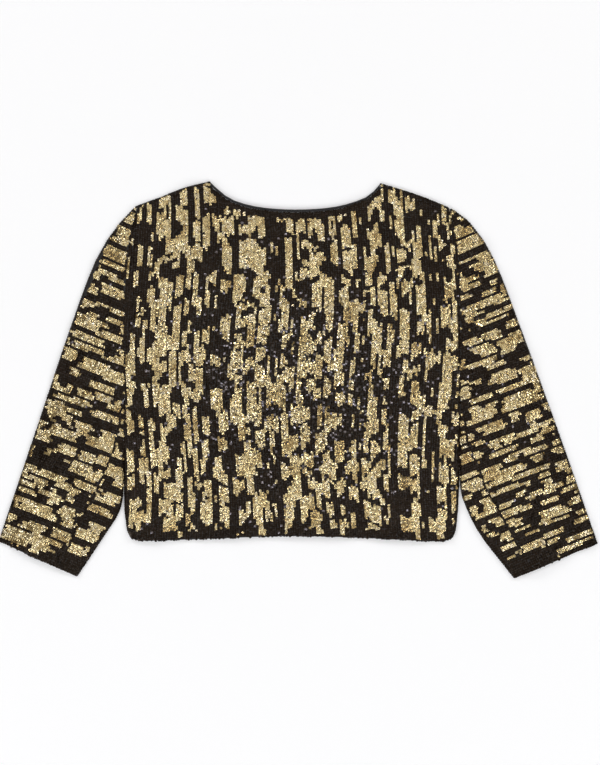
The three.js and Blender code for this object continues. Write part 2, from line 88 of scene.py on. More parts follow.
# Creases of the upper layer, in millimetres. A crease has the x and y of its middle, its direction
# in degrees from the neck's side towards the right, its length, its half width and its height.
CREASES = [
    (-190, 92, 2, 170, 11, -1.3),
    (-206, 170, 16, 80, 7, -0.9),
    (-176, 128, -6, 90, 7, 0.9),
    (-150, 62, 10, 110, 8, -0.8),
    (-132, 120, 8, 100, 9, 0.8),
    (-118, 6, 14, 90, 8, 0.7),
    (-92, 46, 6, 70, 7, -0.9),
    (-70, -60, -12, 90, 8, -0.8),
    (-36, 40, 4, 130, 9, 0.7),
    (-22, 128, -8, 80, 8, -0.7),
    (14, 20, 16, 90, 8, -0.9),
    (30, -80, 30, 80, 8, 0.8),
    (58, 70, -6, 120, 9, 0.8),
    (84, 150, -10, 90, 8, -0.9),
    (96, -20, 6, 100, 9, 0.8),
    (128, 60, 2, 120, 8, -0.7),
    (150, 140, -14, 110, 9, 0.8),
    (166, -40, 10, 110, 9, -1.1),
    (190, 40, 0, 150, 9, -0.8),
    (204, 130, -4, 130, 8, 0.8),
    (-200, -100, 4, 110, 9, 0.7),
    (-168, -140, -8, 80, 8, -0.8),
    (-100, -150, 12, 70, 8, 0.7),
    (-24, -156, -10, 70, 8, -0.7),
    (70, -150, 8, 70, 8, -0.8),
    (136, -130, -14, 80, 9, 0.7),
    (196, -120, 6, 90, 9, -0.7),
    (-60, 206, 84, 120, 7, -0.6),
    (52, 208, 96, 100, 7, -0.6),
    (0, -199, 90, 420, 8, -0.9),
    (-243, 60, 0, 190, 6, -0.7),
    (-235, 186, 8, 130, 6, -0.7),
    (228, 60, 0, 190, 6, -0.7),
    (220, 186, -7, 130, 6, -0.7),
    (-270, 96, 20, 150, 10, -1.4),
    (-262, 30, 12, 90, 7, 0.9),
    (-292, -20, 30, 130, 8, 0.8),
    (-264, -52, 6, 90, 7, -1.2),
    (-318, -60, 18, 110, 9, -0.8),
    (-304, -116, 56, 70, 8, -0.8),
    (-346, -150, 30, 110, 9, 0.7),
    (-372, -190, 16, 70, 8, -0.6),
    (-286, 160, 26, 90, 9, 0.7),
    (256, 150, -16, 130, 9, -1.5),
    (246, 84, -8, 110, 7, 0.9),
    (276, 44, -26, 120, 9, -1.0),
    (252, -24, -4, 110, 7, -1.2),
    (300, -16, -22, 110, 8, 0.9),
    (292, -84, -40, 90, 8, -0.8),
    (330, -110, -20, 120, 9, 0.7),
    (350, -180, -34, 80, 8, -0.7),
    (284, -190, -60, 60, 8, 0.6),
    (288, 150, -24, 90, 8, 0.7),
]

RIDGE_SCALE = 3.2  # times the heights in the table
VALLEY_SCALE = 2.6  # and the depths
VALLEY_FLOOR = 2.5 * MM  # no valley of the upper layer goes lower than this
VALLEY_WALL = 0.6 * MM  # the wall left under it
WAVE_COUNT = 7  # crossing waves that make puckers, swells and the patches of painted shade
WAVE_LENGTHS = (0.75, 1.5)  # the shortest and the longest, as shares of their size

# Heights that tell the layers apart
UPPER_FROM = 1.8 * MM  # above this a point is on the upper layer
UPPER_FULL = 2.8 * MM  # from here creases have their full height
FLOOR_CLEARANCE = 0.03 * MM  # least height of a sequin's corner
MERGE_DISTANCE = 0.001 * MM

# Making a CAD node's form finer
LONGEST_EDGE = 9 * MM
REFINE_STEPS = 3  # the edges are halved this often at most
LEVEL_NORMAL = 0.85  # a point whose normal is steeper than this belongs to a rim or a fold
SMOOTH_STEPS = 12
SHARP_ANGLE = math.radians(50)
SIDE_INSET = -0.3  # share of the inset by which the net grows sideways, so that seams close
NET_THREAD = 0.9 * MM  # from one thread to the next
BINDING_THREAD = 0.5 * MM
BINDING_TURN = math.radians(38)
BINDING_ROUNDING = 0.5 * MM

# Rows of sequins. A region has the start of its first row, the direction of its rows and the
# side on which the next row lies, in degrees from +X, how far it reaches, and how far its rows
# swing to and fro, in millimetres.
Region = namedtuple("Region", "name start_x start_y row_angle next_angle length width bend")
SLEEVE_TURN = 22.5
REGIONS = [
    Region("body", -252, -238, 90, 0, 528, 492, 5.0),
    Region("sleeve_left", -240, 256, -SLEEVE_TURN, -90 - SLEEVE_TURN, 172, 530, 2.5),
    Region("sleeve_right", 240, 256, 180 + SLEEVE_TURN, -90 + SLEEVE_TURN, 172, 530, 2.5),
]
BEND_ALONG = 62 * MM  # how slowly the rows swing, along them and from one to the next
BEND_ACROSS = 150 * MM
STEP_SPREAD = 0.13  # how unevenly the sequins are sewn, as a share of the pitch
ROW_SPREAD = 0.11  # and of the row spacing

# Streaks, counted in rows and in places of a row
STREAK_ROWS = [1, 2, 3, 4, 5]
STREAK_ROW_CHANCES = [0.18, 0.37, 0.25, 0.12, 0.08]
GAP_ROWS = [0, 1, 2]
GAP_ROW_CHANCES = [0.12, 0.60, 0.28]
LEAST_STREAK = 4
STREAK_GROWTH = (2.0, 3.0)  # shape and scale of what a streak is longer than that
LEAST_GAP = 1
GAP_GROWTH = (1.2, 2.0)
END_SPREAD = 1.1  # how unevenly the rows of a streak end
PLACES_PER_PATCH = 260  # one more gold patch for this many places
PATCH_SIZES = (3, 7)
CUT_LENGTHS = (6, 16)  # of the narrow black cuts
BITE_ROWS = (3, 7)  # of the broad black bites
BITE_LENGTHS = (2, 6)
BITE_SHARE = 0.55
MANY, FEW = 7, 2  # gold ones among the nine of a place and its neighbours

# Black along the edges of the cloth
HEM_BLACK = 11 * MM
HEM_EDGE = 3 * MM  # black also where a streak runs down to the hem
NECK_BLACK = 7 * MM
NECK_LEFT, NECK_RIGHT = -124 * MM, 116 * MM
CUFF_BLACK = 26 * MM  # on the inner half of the cuff
CUFF_EDGE = 5 * MM
INNER_HALF = 88 * MM  # from here along a row is the inner half
INNER_HALF_SPREAD = 14 * MM
UNDER_SHIFT = (37, 11)  # rows and places by which the layout is shifted on the under pieces

# How the sequins lie on the net
UPPER_LIFT = 0.30 * MM  # from the net to the middle of a sequin
UNDER_LIFT = 0.20 * MM
LIFT_SPREAD = 0.06  # millimetres
MIDDLE_SHARE = 0.1  # of the diameter, within which a corner counts as the middle
STEEPEST = 0.3  # least height of the net's normal for a sequin that lies on it
EDGE_SHARE = 0.43  # how far a place past an edge is moved back, as a share of the spacing
EDGE_REACH = 6 * MM  # most distance between such a place and the one inside the edge
LEAST_DISTANCE = 2.2 * MM  # between the middles of two sequins at an edge
LIVELY_MIDDLE = -10 * MM  # the sequins tip most about this height of the back
LIVELY_WIDTH, LIVELY_HEIGHT = 170 * MM, 130 * MM
STILL_SHARE = 0.35  # of the liveliness, far from there
UNDER_LIVELINESS = 0.25  # share of it on the underside, which is pressed flat
UNDER_LEAN = 0.6  # share of the lean there
SHADE_SHAPE = 2.2  # how closely the sequins' shades keep to the middle one
BRIGHTEST = 0.9
PAINTED_SHADE_FROM, PAINTED_SHADE_DEPTH = 0.25, 0.75  # where the patches of painted shade start, and how deep the painted shade is
GLINT_SHARE = 0.15  # of the black sequins that glint where they tip most

# The row of sequins that turns over the folds, found on lines this far apart
FOLD_STEP = 3  # millimetres
FOLD_REACH_X, FOLD_REACH_Y = 424, 279  # millimetres, just past the outline
FOLD_SEARCH_STEPS = 6
FOLD_INSIDE = 0.25 * MM
FOLD_SLOPE, FOLD_FACING = 0.45, 0.7  # how steep the net is there, and how well it faces out
FOLD_TURN = 0.8  # how far the sequins on a fold turn up or down
FOLD_LIFT = 0.12 * MM
FOLD_TIP = 0.06  # spread of the tipping there
RAY_HEIGHT = 0.1  # metres above or below the floor, where the rays start
RAY_LENGTH = 2.0

# Lamps: the direction round the blouse and the angle from straight above of each, in degrees,
# and the distance, size, power and colour that the lamps of a group share.
LampGroup = namedtuple("LampGroup", "name places distance size power colour")
WHITE = (1, 1, 1)
LAMP_GROUPS = [
    LampGroup(
        "wide", [(35, 62), (125, 62), (215, 62), (305, 62)], 3.5, 1.2, 32.7, (0.98, 1.0, 1.04)
    ),
    LampGroup("soft", [(270, 14), (160, 13), (20, 13)], 3.6, 1.0, 2.1, WHITE),
    LampGroup(
        "bright", [(262, 34), (100, 24), (200, 30), (330, 28)], 3.6, 0.6, 5.8, (0.93, 1.0, 1.16)
    ),
    LampGroup("small", [(10, 28), (62, 35), (140, 28), (236, 35), (300, 28)], 3.4, 0.2, 2.2, WHITE),
]

# Floor, and the camera, framed as in the photograph
FLOOR_REACH = 6  # metres, to each side
FRAMED_LENGTH = 1.071  # metres, from the top of the picture to its foot
CAMERA_X, CAMERA_Y = 2.8 * MM, -3.5 * MM
SENSOR_WIDTH = 36  # millimetres
FARTHEST_SEEN = 20  # metres


class BlouseCloth(bpy.types.PropertyGroup):
    """Sizes and colours of the net cloth and the neck binding."""

    inset: FloatProperty(
        name="Inset",
        description="How far the net lies below the tops of the sequins",
        default=0.45 * MM,
        min=0,
        max=0.6 * MM,
        unit="LENGTH",
    )
    pucker_height: FloatProperty(
        name="Pucker height",
        description="Height of the small puckers that the sewn rows draw into the net",
        default=0.55 * MM,
        min=0,
        unit="LENGTH",
    )
    pucker_size: FloatProperty(
        name="Pucker size",
        description="Distance from one small pucker to the next",
        default=22 * MM,
        min=5 * MM,
        unit="LENGTH",
    )
    swell_height: FloatProperty(
        name="Swell height",
        description="Height of the broad waves in which the upper layer lies",
        default=1.1 * MM,
        min=0,
        unit="LENGTH",
    )
    swell_size: FloatProperty(
        name="Swell size",
        description="Distance from one broad wave to the next",
        default=75 * MM,
        min=20 * MM,
        unit="LENGTH",
    )
    net_colour: FloatVectorProperty(
        name="Net colour",
        description="Colour of the net under the sequins",
        default=(0.010, 0.008, 0.007, 1),
        size=4,
        subtype="COLOR",
    )
    binding_colour: FloatVectorProperty(
        name="Binding colour",
        description="Colour of the woven strip round the neck",
        default=(0.012, 0.011, 0.011, 1),
        size=4,
        subtype="COLOR",
    )


class BlouseSequins(bpy.types.PropertyGroup):
    """Sizes, colours and layout of the sequins."""

    diameter: FloatProperty(
        name="Diameter",
        description="Width of one round sequin",
        default=3.95 * MM,
        min=2 * MM,
        unit="LENGTH",
    )
    cup: FloatProperty(
        name="Cup",
        description="How far the middle of a sequin stands above its rim",
        default=0.16 * MM,
        min=0.05 * MM,
        unit="LENGTH",
    )
    pitch: FloatProperty(
        name="Pitch",
        description="Distance from one sequin to the next in a row",
        default=3.05 * MM,
        min=1.5 * MM,
        unit="LENGTH",
    )
    row_spacing: FloatProperty(
        name="Row spacing",
        description="Distance between two rows",
        default=3.4 * MM,
        min=2 * MM,
        unit="LENGTH",
    )
    lean: FloatProperty(
        name="Lean",
        description="Angle at which each sequin lies on the next one in its row",
        default=math.radians(6),
        min=0,
        subtype="ANGLE",
    )
    liveliness: FloatProperty(
        name="Liveliness",
        description="Spread of the angles to which single sequins tip",
        default=math.radians(14),
        min=0,
        subtype="ANGLE",
    )
    # Painted shade: the size of the patches in which the sequins' colour is darkened
    painted_shade_size: FloatProperty(
        name="Patch size",
        description="Distance from one patch of duller sequins to the next",
        default=45 * MM,
        min=10 * MM,
        unit="LENGTH",
    )
    gold_share: FloatProperty(
        name="Gold share",
        description="Share of the body's sequins that are gold",
        default=0.48,
        min=0,
        max=1,
        subtype="FACTOR",
    )
    sleeve_gold_share: FloatProperty(
        name="Gold share on the sleeves",
        description="Share of the sleeves' sequins that are gold",
        default=0.56,
        min=0,
        max=1,
        subtype="FACTOR",
    )
    gold_colour: FloatVectorProperty(
        name="Gold colour",
        description="Pale gold of the sequins",
        default=(0.91, 0.745, 0.405, 1),
        size=4,
        subtype="COLOR",
    )
    black_colour: FloatVectorProperty(
        name="Black colour",
        description="Brownish black of the sequins",
        default=(0.0105, 0.0063, 0.0034, 1),
        size=4,
        subtype="COLOR",
    )
    seed: IntProperty(
        name="Seed",
        description="Number that sets the layout of the streaks and the tipping of the sequins",
        default=27,
    )


class BlouseStage(bpy.types.PropertyGroup):
    """Floor, lights and camera."""

    floor_colour: FloatVectorProperty(
        name="Floor colour",
        description="Colour of the plain floor",
        default=(0.93, 0.93, 0.925, 1),
        size=4,
        subtype="COLOR",
    )
    daylight: FloatProperty(
        name="Daylight",
        description="Strength of the even light from all sides",
        default=0.17,
        min=0,
    )
    camera_height: FloatProperty(
        name="Camera height",
        description="Height of the camera above the floor",
        default=3.0,
        min=1,
        unit="LENGTH",
    )


# Numbers and meshes


def unit_vectors(vectors):
    """The vectors, each with a length of one."""
    lengths = np.linalg.norm(vectors, axis=-1, keepdims=True)
    return vectors / np.maximum(lengths, 1e-12)


def waves(x, y, size, rng):
    """An uneven surface of crossing waves, about -1 to 1 high."""
    total = np.zeros_like(x)
    for _ in range(WAVE_COUNT):
        turn = rng.uniform(0, math.pi)
        step = 2 * math.pi / (size * rng.uniform(*WAVE_LENGTHS))
        along = x * math.cos(turn) + y * math.sin(turn)
        total += np.sin(step * along + rng.uniform(0, 2 * math.pi))
    return total / math.sqrt(WAVE_COUNT)


def crease_heights(x, y):
    """The height that the creases add at each place, in metres."""
    total = np.zeros_like(x)
    for middle_x, middle_y, degrees, length, half_width, height in CREASES:
        turn = math.radians(degrees)
        dx = x / MM - middle_x
        dy = y / MM - middle_y
        along = (dx * math.sin(turn) + dy * math.cos(turn)) / (length / 2)
        across = (dx * math.cos(turn) - dy * math.sin(turn)) / half_width
        swell = np.clip(1 - along**2, 0, 1) ** 2 * np.clip(1 - across**2, 0, 1) ** 2
        scale = RIDGE_SCALE if height > 0 else VALLEY_SCALE
        total += scale * height * MM * swell
    return total


def vertex_places(mesh):
    """The mesh's vertices as rows of x, y and z."""
    places = np.zeros(len(mesh.vertices) * 3)
    mesh.vertices.foreach_get("co", places)
    return places.reshape(-1, 3)


def triangle_table(mesh):
    """The mesh's triangles as rows of three vertex numbers."""
    mesh.calc_loop_triangles()
    table = np.zeros(len(mesh.loop_triangles) * 3, int)
    mesh.loop_triangles.foreach_get("vertices", table)
    return table.reshape(-1, 3)


def area_normals(places, triangles):
    """Vertex normals in which a large face counts for more than a narrow rim."""
    a, b, c = (places[triangles[:, k]] for k in range(3))
    faces = np.cross(b - a, c - a)
    normals = np.zeros_like(places)
    for k in range(3):
        np.add.at(normals, triangles[:, k], faces)
    return unit_vectors(normals)


def add_piece(name, mesh, material):
    """A finished piece: its object, its material and the body that it rides on."""
    piece = bpy.data.objects.new(name, mesh)
    bpy.context.scene.collection.objects.link(piece)
    mesh.materials.append(material)
    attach(piece, BODY)
    return piece


# Materials

THREAD_COLOUR = (0.05, 0.03, 0.015, 1)
HOLE_EDGE = (0.68, 0.75)  # where the hole's edge starts and ends, from rim 0 to middle 1
GLINT_FROM = 0.92  # the shade from which black foil turns to a mirror
CRINKLE_SCALE = 1400  # for each metre
CRINKLE_STRENGTH = 0.25
CRINKLE_DEPTH = 0.1 * MM
WEAVE_DEPTH = 0.2 * MM


def new_material(name):
    """A material with its shader, its nodes and a function that links two sockets."""
    material = bpy.data.materials.new(name)
    material.use_nodes = True
    tree = material.node_tree
    return material, tree.nodes["Principled BSDF"], tree.nodes, tree.links.new


def object_noise(nodes, link, scale):
    """Noise on the object's own coordinates."""
    place = nodes.new("ShaderNodeTexCoord")
    noise = nodes.new("ShaderNodeTexNoise")
    noise.inputs["Scale"].default_value = scale
    link(place.outputs["Object"], noise.inputs["Vector"])
    return noise.outputs["Fac"]


def value_range(nodes, link, source, low, high, start=0.0, end=1.0):
    """A value from start to end turned into one from low to high."""
    span = nodes.new("ShaderNodeMapRange")
    span.inputs["From Min"].default_value = start
    span.inputs["From Max"].default_value = end
    span.inputs["To Min"].default_value = low
    span.inputs["To Max"].default_value = high
    link(source, span.inputs["Value"])
    return span.outputs["Result"]


def point_value(nodes, name):
    """The value that the mesh's points carry under this name."""
    value = nodes.new("ShaderNodeAttribute")
    value.attribute_name = name
    return value.outputs["Fac"]


def bumped(nodes, link, shader, height, strength, distance):
    """Gives the shader the relief of a height from 0 to 1."""
    bump = nodes.new("ShaderNodeBump")
    bump.inputs["Strength"].default_value = strength
    bump.inputs["Distance"].default_value = distance
    link(height, bump.inputs["Height"])
    link(bump.outputs["Normal"], shader.inputs["Normal"])


def colour_ramp(nodes, link, source, stops):
    """A colour chosen by a value, from stops of place and colour."""
    ramp = nodes.new("ShaderNodeValToRGB")
    for end in (0, -1):
        ramp.color_ramp.elements[end].position, ramp.color_ramp.elements[end].color = stops[end]
    for place, colour in stops[1:-1]:
        ramp.color_ramp.elements.new(place).color = colour
    link(source, ramp.inputs["Fac"])
    return ramp.outputs["Color"]


def tinted(colour, red, green, blue):
    """The colour with its red, green and blue scaled."""
    return (colour[0] * red, colour[1] * green, colour[2] * blue, 1)


def with_hole(nodes, link, colour):
    """The colour with a small dark spot in each sequin's middle, where the thread goes through."""
    edge = value_range(nodes, link, point_value(nodes, "middle"), 0.0, 1.0, *HOLE_EDGE)
    mix = nodes.new("ShaderNodeMix")
    mix.data_type = "RGBA"
    link(edge, mix.inputs["Factor"])
    link(colour, mix.inputs["A"])
    mix.inputs["B"].default_value = THREAD_COLOUR
    return mix.outputs["Result"]


def polish(nodes, link, shader, haze_scale, clearest, haziest):
    """Gives a foil its uneven gloss and its fine crinkles."""
    haze = object_noise(nodes, link, haze_scale)
    link(value_range(nodes, link, haze, clearest, haziest), shader.inputs["Roughness"])
    crinkle = object_noise(nodes, link, CRINKLE_SCALE)
    bumped(nodes, link, shader, crinkle, CRINKLE_STRENGTH, CRINKLE_DEPTH)


def gold_foil(colour):
    """Metallised film, a little different on every sequin, with its colour darkened towards brown
    in the patches of painted shade.
    """
    material, shader, nodes, link = new_material("gold_foil")
    shade = point_value(nodes, "shade")
    stops = [
        (0.0, tinted(colour, 0.50, 0.41, 0.29)),
        (0.3, tinted(colour, 0.90, 0.87, 0.81)),
        (0.5, tinted(colour, 1.02, 1.02, 1.01)),
        (1.0, tinted(colour, 1.08, 1.17, 1.62)),
    ]
    foil = colour_ramp(nodes, link, shade, stops)
    link(with_hole(nodes, link, foil), shader.inputs["Base Color"])
    polish(nodes, link, shader, haze_scale=90, clearest=0.17, haziest=0.30)
    shader.inputs["Metallic"].default_value = 1.0
    return material


def black_foil(colour):
    """Glossy black film with a faint violet cast on some sequins."""
    material, shader, nodes, link = new_material("black_foil")
    shade = point_value(nodes, "shade")
    stops = [
        (0.0, tinted(colour, 0.5, 0.5, 0.55)),
        (0.8, tinted(colour, 1.15, 1.2, 1.35)),
        (0.9, tinted(colour, 2.2, 1.9, 3.0)),
        (1.0, (0.24, 0.215, 0.22, 1)),
    ]
    link(colour_ramp(nodes, link, shade, stops), shader.inputs["Base Color"])
    link(value_range(nodes, link, shade, 0.0, 1.0, GLINT_FROM), shader.inputs["Metallic"])
    polish(nodes, link, shader, haze_scale=120, clearest=0.12, haziest=0.30)
    shader.inputs["Specular IOR Level"].default_value = 0.22
    shader.inputs["Specular Tint"].default_value = (1.0, 0.80, 0.62, 1)
    return material


def woven(name, colour, thread, turn, strength):
    """Cloth with threads crossing at the given distance, turned by an angle."""
    material, shader, nodes, link = new_material(name)
    place = nodes.new("ShaderNodeTexCoord")
    turned = nodes.new("ShaderNodeMapping")
    turned.inputs["Rotation"].default_value = (0, 0, turn)
    link(place.outputs["Object"], turned.inputs["Vector"])
    height = None
    for direction in ("X", "Y"):
        wave = nodes.new("ShaderNodeTexWave")
        wave.bands_direction = direction
        wave.inputs["Scale"].default_value = math.pi / (10 * thread)
        wave.inputs["Distortion"].default_value = 0.6
        link(turned.outputs["Vector"], wave.inputs["Vector"])
        if height is None:
            height = wave.outputs["Fac"]
            continue
        cross = nodes.new("ShaderNodeMath")
        cross.operation = "MULTIPLY"
        link(height, cross.inputs[0])
        link(wave.outputs["Fac"], cross.inputs[1])
        height = cross.outputs["Value"]
    stops = [(0.0, tinted(colour, 0.5, 0.5, 0.5)), (1.0, tinted(colour, 1.7, 1.7, 1.7))]
    link(colour_ramp(nodes, link, height, stops), shader.inputs["Base Color"])
    bumped(nodes, link, shader, height, strength, WEAVE_DEPTH)
    shader.inputs["Roughness"].default_value = 0.75
    shader.inputs["Sheen Weight"].default_value = 0.05
    return material


# Cloth


def refined_copy(node):
    """A merged copy of a CAD node with its long edges divided and its level parts smoothed."""
    form = bmesh.new()
    form.from_mesh(frame["nodes"][node].data)
    bmesh.ops.remove_doubles(form, verts=form.verts, dist=MERGE_DISTANCE)
    for _ in range(REFINE_STEPS):
        long_edges = [edge for edge in form.edges if edge.calc_length() > LONGEST_EDGE]
        if not long_edges:
            break
        bmesh.ops.subdivide_edges(form, edges=long_edges, cuts=1)
        bmesh.ops.triangulate(form, faces=[face for face in form.faces if len(face.verts) > 3])
    form.normal_update()
    level = [vert for vert in form.verts if abs(vert.normal.z) > LEVEL_NORMAL]
    for _ in range(SMOOTH_STEPS):
        bmesh.ops.smooth_vert(form, verts=level, factor=0.5, use_axis_z=True)
    form.normal_update()
    return form


def cloth_mesh(node, cloth, seed):
    """The net of one cut piece: the node's form with its creases and puckers, drawn in."""
    form = refined_copy(node)
    mesh = bpy.data.meshes.new(node + "_net")
    form.to_mesh(mesh)
    form.free()
    places = vertex_places(mesh)
    x, y, z = places.T
    upper = np.clip((z - UPPER_FROM) / (UPPER_FULL - UPPER_FROM), 0, 1)
    rng = np.random.default_rng(seed)
    puckers = cloth.pucker_height * waves(x, y, cloth.pucker_size, rng)
    puckers += cloth.swell_height * waves(x, y, cloth.swell_size, rng)
    normals = area_normals(places, triangle_table(mesh))
    places = places - normals * [SIDE_INSET, SIDE_INSET, 1] * cloth.inset
    raised = places[:, 2] + upper * (crease_heights(x, y) + puckers)
    floor = np.where(normals[:, 2] > 0, VALLEY_FLOOR, VALLEY_FLOOR - VALLEY_WALL)
    places[:, 2] = np.maximum(raised, np.minimum(places[:, 2], floor))
    mesh.vertices.foreach_set("co", places.astype(np.float32).ravel())
    mesh.update()
    mesh.shade_smooth()
    mesh.set_sharp_from_angle(angle=SHARP_ANGLE)
    return mesh


def make_cloth(cuts):
    """The net pieces for the given cuts, each in place of its CAD node."""
    cloth = bpy.context.scene.blouse_cloth
    seed = bpy.context.scene.blouse_sequins.seed
    net = bpy.data.materials.get("black_net")
    if net is None:
        net = woven("black_net", cloth.net_colour, NET_THREAD, turn=0, strength=0.5)
    for cut in cuts:
        piece = add_piece(cut.node + "_cloth", cloth_mesh(cut.node, cloth, seed), net)
        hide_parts(cut.node)


# Sequins

Surface = namedtuple("Surface", "tree places normals triangles owners names")
Landing = namedtuple("Landing", "found places normals owners")
Sequins = namedtuple("Sequins", "places normals along shade gold tip")
LAYERS = ((1, 7, "upper"), (-1, 6, "under"))  # side, corners of a sequin, name


def outer_surface():
    """All the cloth and binding as one surface that rays can meet."""
    names = [cut.node + "_cloth" for cut in BODY_CUTS + SLEEVE_CUTS]
    names += [node + "_strip" for node in BINDINGS]
    places, normals, triangles, owners = [], [], [], []
    count = 0
    for number, name in enumerate(names):
        mesh = bpy.data.objects[name].data
        own_places = vertex_places(mesh)
        own_triangles = triangle_table(mesh)
        places.append(own_places)
        normals.append(area_normals(own_places, own_triangles))
        triangles.append(own_triangles + count)
        owners.append(np.full(len(own_triangles), number))
        count += len(own_places)
    places = np.concatenate(places)
    triangles = np.concatenate(triangles)
    tree = BVHTree.FromPolygons(places.tolist(), triangles.tolist(), all_triangles=True)
    return Surface(tree, places, np.concatenate(normals), triangles, np.concatenate(owners), names)


def land(surface, starts, side):
    """Where rays from above (+1) or below (-1) meet the surface, its normals and its pieces."""
    count = len(starts)
    inwards = Vector((0, 0, -side))
    found = np.zeros(count, bool)
    places = np.zeros((count, 3))
    hits = np.zeros(count, int)
    for k in range(count):
        place, _, hit, _ = surface.tree.ray_cast(Vector(starts[k]), inwards, RAY_LENGTH)
        if place is not None:
            found[k] = True
            places[k] = place
            hits[k] = hit
    corners = surface.triangles[hits]
    a, b, c = (surface.places[corners[:, k]] for k in range(3))
    face = np.cross(b - a, c - a)
    size = np.maximum(np.einsum("ij,ij->i", face, face), 1e-18)
    share_a = np.einsum("ij,ij->i", np.cross(b - places, c - places), face) / size
    share_b = np.einsum("ij,ij->i", np.cross(c - places, a - places), face) / size
    shares = np.stack([share_a, share_b, 1 - share_a - share_b], axis=1).clip(0, 1)
    normals = np.einsum("ik,ikj->ij", shares, surface.normals[corners])
    return Landing(found, places, unit_vectors(normals), surface.owners[hits])


def direction(angle):
    """The level direction at an angle from +X, in degrees."""
    return np.array([math.cos(math.radians(angle)), math.sin(math.radians(angle)), 0.0])


def row_places(region, sequins, rng):
    """The places of a region's rows: rows, places in a row, and x and y."""
    rows = int(region.width * MM / sequins.row_spacing)
    count = int(region.length * MM / sequins.pitch)
    row, step = np.mgrid[0:rows, 0:count].astype(float)
    phase = rng.uniform(0, 1, (rows, 1))
    forward = (step + phase) * sequins.pitch
    sideways = row * sequins.row_spacing
    sideways += region.bend * MM * np.sin(forward / BEND_ALONG + sideways / BEND_ACROSS)
    start = np.array([region.start_x, region.start_y, 0]) * MM
    forward += rng.uniform(-STEP_SPREAD, STEP_SPREAD, forward.shape) * sequins.pitch
    sideways += rng.uniform(-ROW_SPREAD, ROW_SPREAD, forward.shape) * sequins.row_spacing
    places = start + forward[..., None] * direction(region.row_angle)
    return places + sideways[..., None] * direction(region.next_angle)


def paint_bar(gold, value, first_row, rows, begin, length, rng):
    """A blunt bar with stepped ends, painted into the layout."""
    end = begin + length
    for row in range(max(first_row, 0), min(first_row + rows, len(gold))):
        gold[row, max(begin, 0) : max(end, 0)] = value
        begin += int(round(rng.normal(0, END_SPREAD)))
        end += int(round(rng.normal(0, END_SPREAD)))


def without_odd_places(gold):
    """The layout with each place that differs from nearly all its neighbours turned over."""
    padded = np.pad(gold.astype(int), 1, mode="edge")
    rows, steps = gold.shape
    around = sum(padded[a : a + rows, b : b + steps] for a in range(3) for b in range(3))
    return (gold | (around >= MANY)) & (around > FEW)


def whole(rng, limits):
    """A whole number within the limits."""
    return int(rng.integers(*limits))


def streak_layout(shape, share, rng):
    """Which sequins are gold: lines of blunt bars with narrow black lines between them."""
    rows, steps = shape
    gold = np.zeros(shape, bool)
    row = 0
    while row < rows:
        width = int(rng.choice(STREAK_ROWS, p=STREAK_ROW_CHANCES))
        begin = whole(rng, (-12, 3))
        while begin < steps:
            length = int(LEAST_STREAK + rng.gamma(*STREAK_GROWTH))
            first = row + whole(rng, (-1, 2))
            paint_bar(gold, True, first, width, begin, length, rng)
            begin += length + int(LEAST_GAP + rng.gamma(*GAP_GROWTH))
        row += width + int(rng.choice(GAP_ROWS, p=GAP_ROW_CHANCES))
    for _ in range(rows * steps // PLACES_PER_PATCH):
        width, length = (int(value) for value in rng.integers(*PATCH_SIZES, 2))
        first, begin = whole(rng, (0, rows)), whole(rng, (0, steps))
        paint_bar(gold, True, first, width, begin, length, rng)
    gold = without_odd_places(gold)
    while gold.mean() > share:
        width, length = 1, whole(rng, CUT_LENGTHS)
        if rng.uniform() < BITE_SHARE:
            width, length = whole(rng, BITE_ROWS), whole(rng, BITE_LENGTHS)
        first, begin = whole(rng, (0, rows)), whole(rng, (0, steps))
        paint_bar(gold, False, first, width, begin, length, rng)
    return without_odd_places(gold)


def sequin_form(sides, sequins):
    """The vertices and faces of one sequin, a very low closed cup."""
    form = bmesh.new()
    bmesh.ops.create_cone(
        form,
        cap_ends=True,
        cap_tris=False,
        segments=sides,
        radius1=sequins.diameter / 2,
        radius2=0,
        depth=sequins.cup,
    )
    bmesh.ops.remove_doubles(form, verts=form.verts, dist=MERGE_DISTANCE)
    bmesh.ops.recalc_face_normals(form, faces=form.faces)
    form.verts.index_update()
    places = np.array([vert.co for vert in form.verts])
    faces = [[vert.index for vert in face.verts] for face in form.faces]
    form.free()
    return places, faces


def joined_sequins(name, sides, sequins, lot):
    """One mesh with a sequin at each place of the lot."""
    form, faces = sequin_form(sides, sequins)
    outward = unit_vectors(lot.normals)
    along = unit_vectors(lot.along - np.sum(lot.along * outward, axis=1, keepdims=True) * outward)
    across = np.cross(outward, along)
    outward = unit_vectors(outward + lot.tip[:, :1] * along + lot.tip[:, 1:] * across)
    along = unit_vectors(along - np.sum(along * outward, axis=1, keepdims=True) * outward)
    across = np.cross(outward, along)
    count = len(lot.places)
    corners = lot.places[:, None, :] + form[None, :, 0, None] * along[:, None, :]
    corners = corners + form[None, :, 1, None] * across[:, None, :]
    corners = corners + form[None, :, 2, None] * outward[:, None, :]
    corners[..., 2] = np.maximum(corners[..., 2], FLOOR_CLEARANCE)
    face_corners = np.concatenate(faces)
    face_starts = np.cumsum([0] + [len(face) for face in faces[:-1]])
    copies = np.arange(count)[:, None]
    mesh = bpy.data.meshes.new(name)
    mesh.vertices.add(count * len(form))
    mesh.vertices.foreach_set("co", corners.astype(np.float32).ravel())
    mesh.loops.add(count * len(face_corners))
    mesh.loops.foreach_set("vertex_index", (face_corners + copies * len(form)).ravel())
    mesh.polygons.add(count * len(faces))
    mesh.polygons.foreach_set("loop_start", (face_starts + copies * len(face_corners)).ravel())
    mesh.update(calc_edges=True)
    mesh.shade_flat()
    middle = np.hypot(form[:, 0], form[:, 1]) < MIDDLE_SHARE * sequins.diameter
    for label, values in (
        ("shade", np.repeat(lot.shade, len(form))),
        ("middle", np.tile(middle, count)),
    ):
        attribute = mesh.attributes.new(label, "FLOAT", "POINT")
        attribute.data.foreach_set("value", values.astype(np.float32))
    return mesh


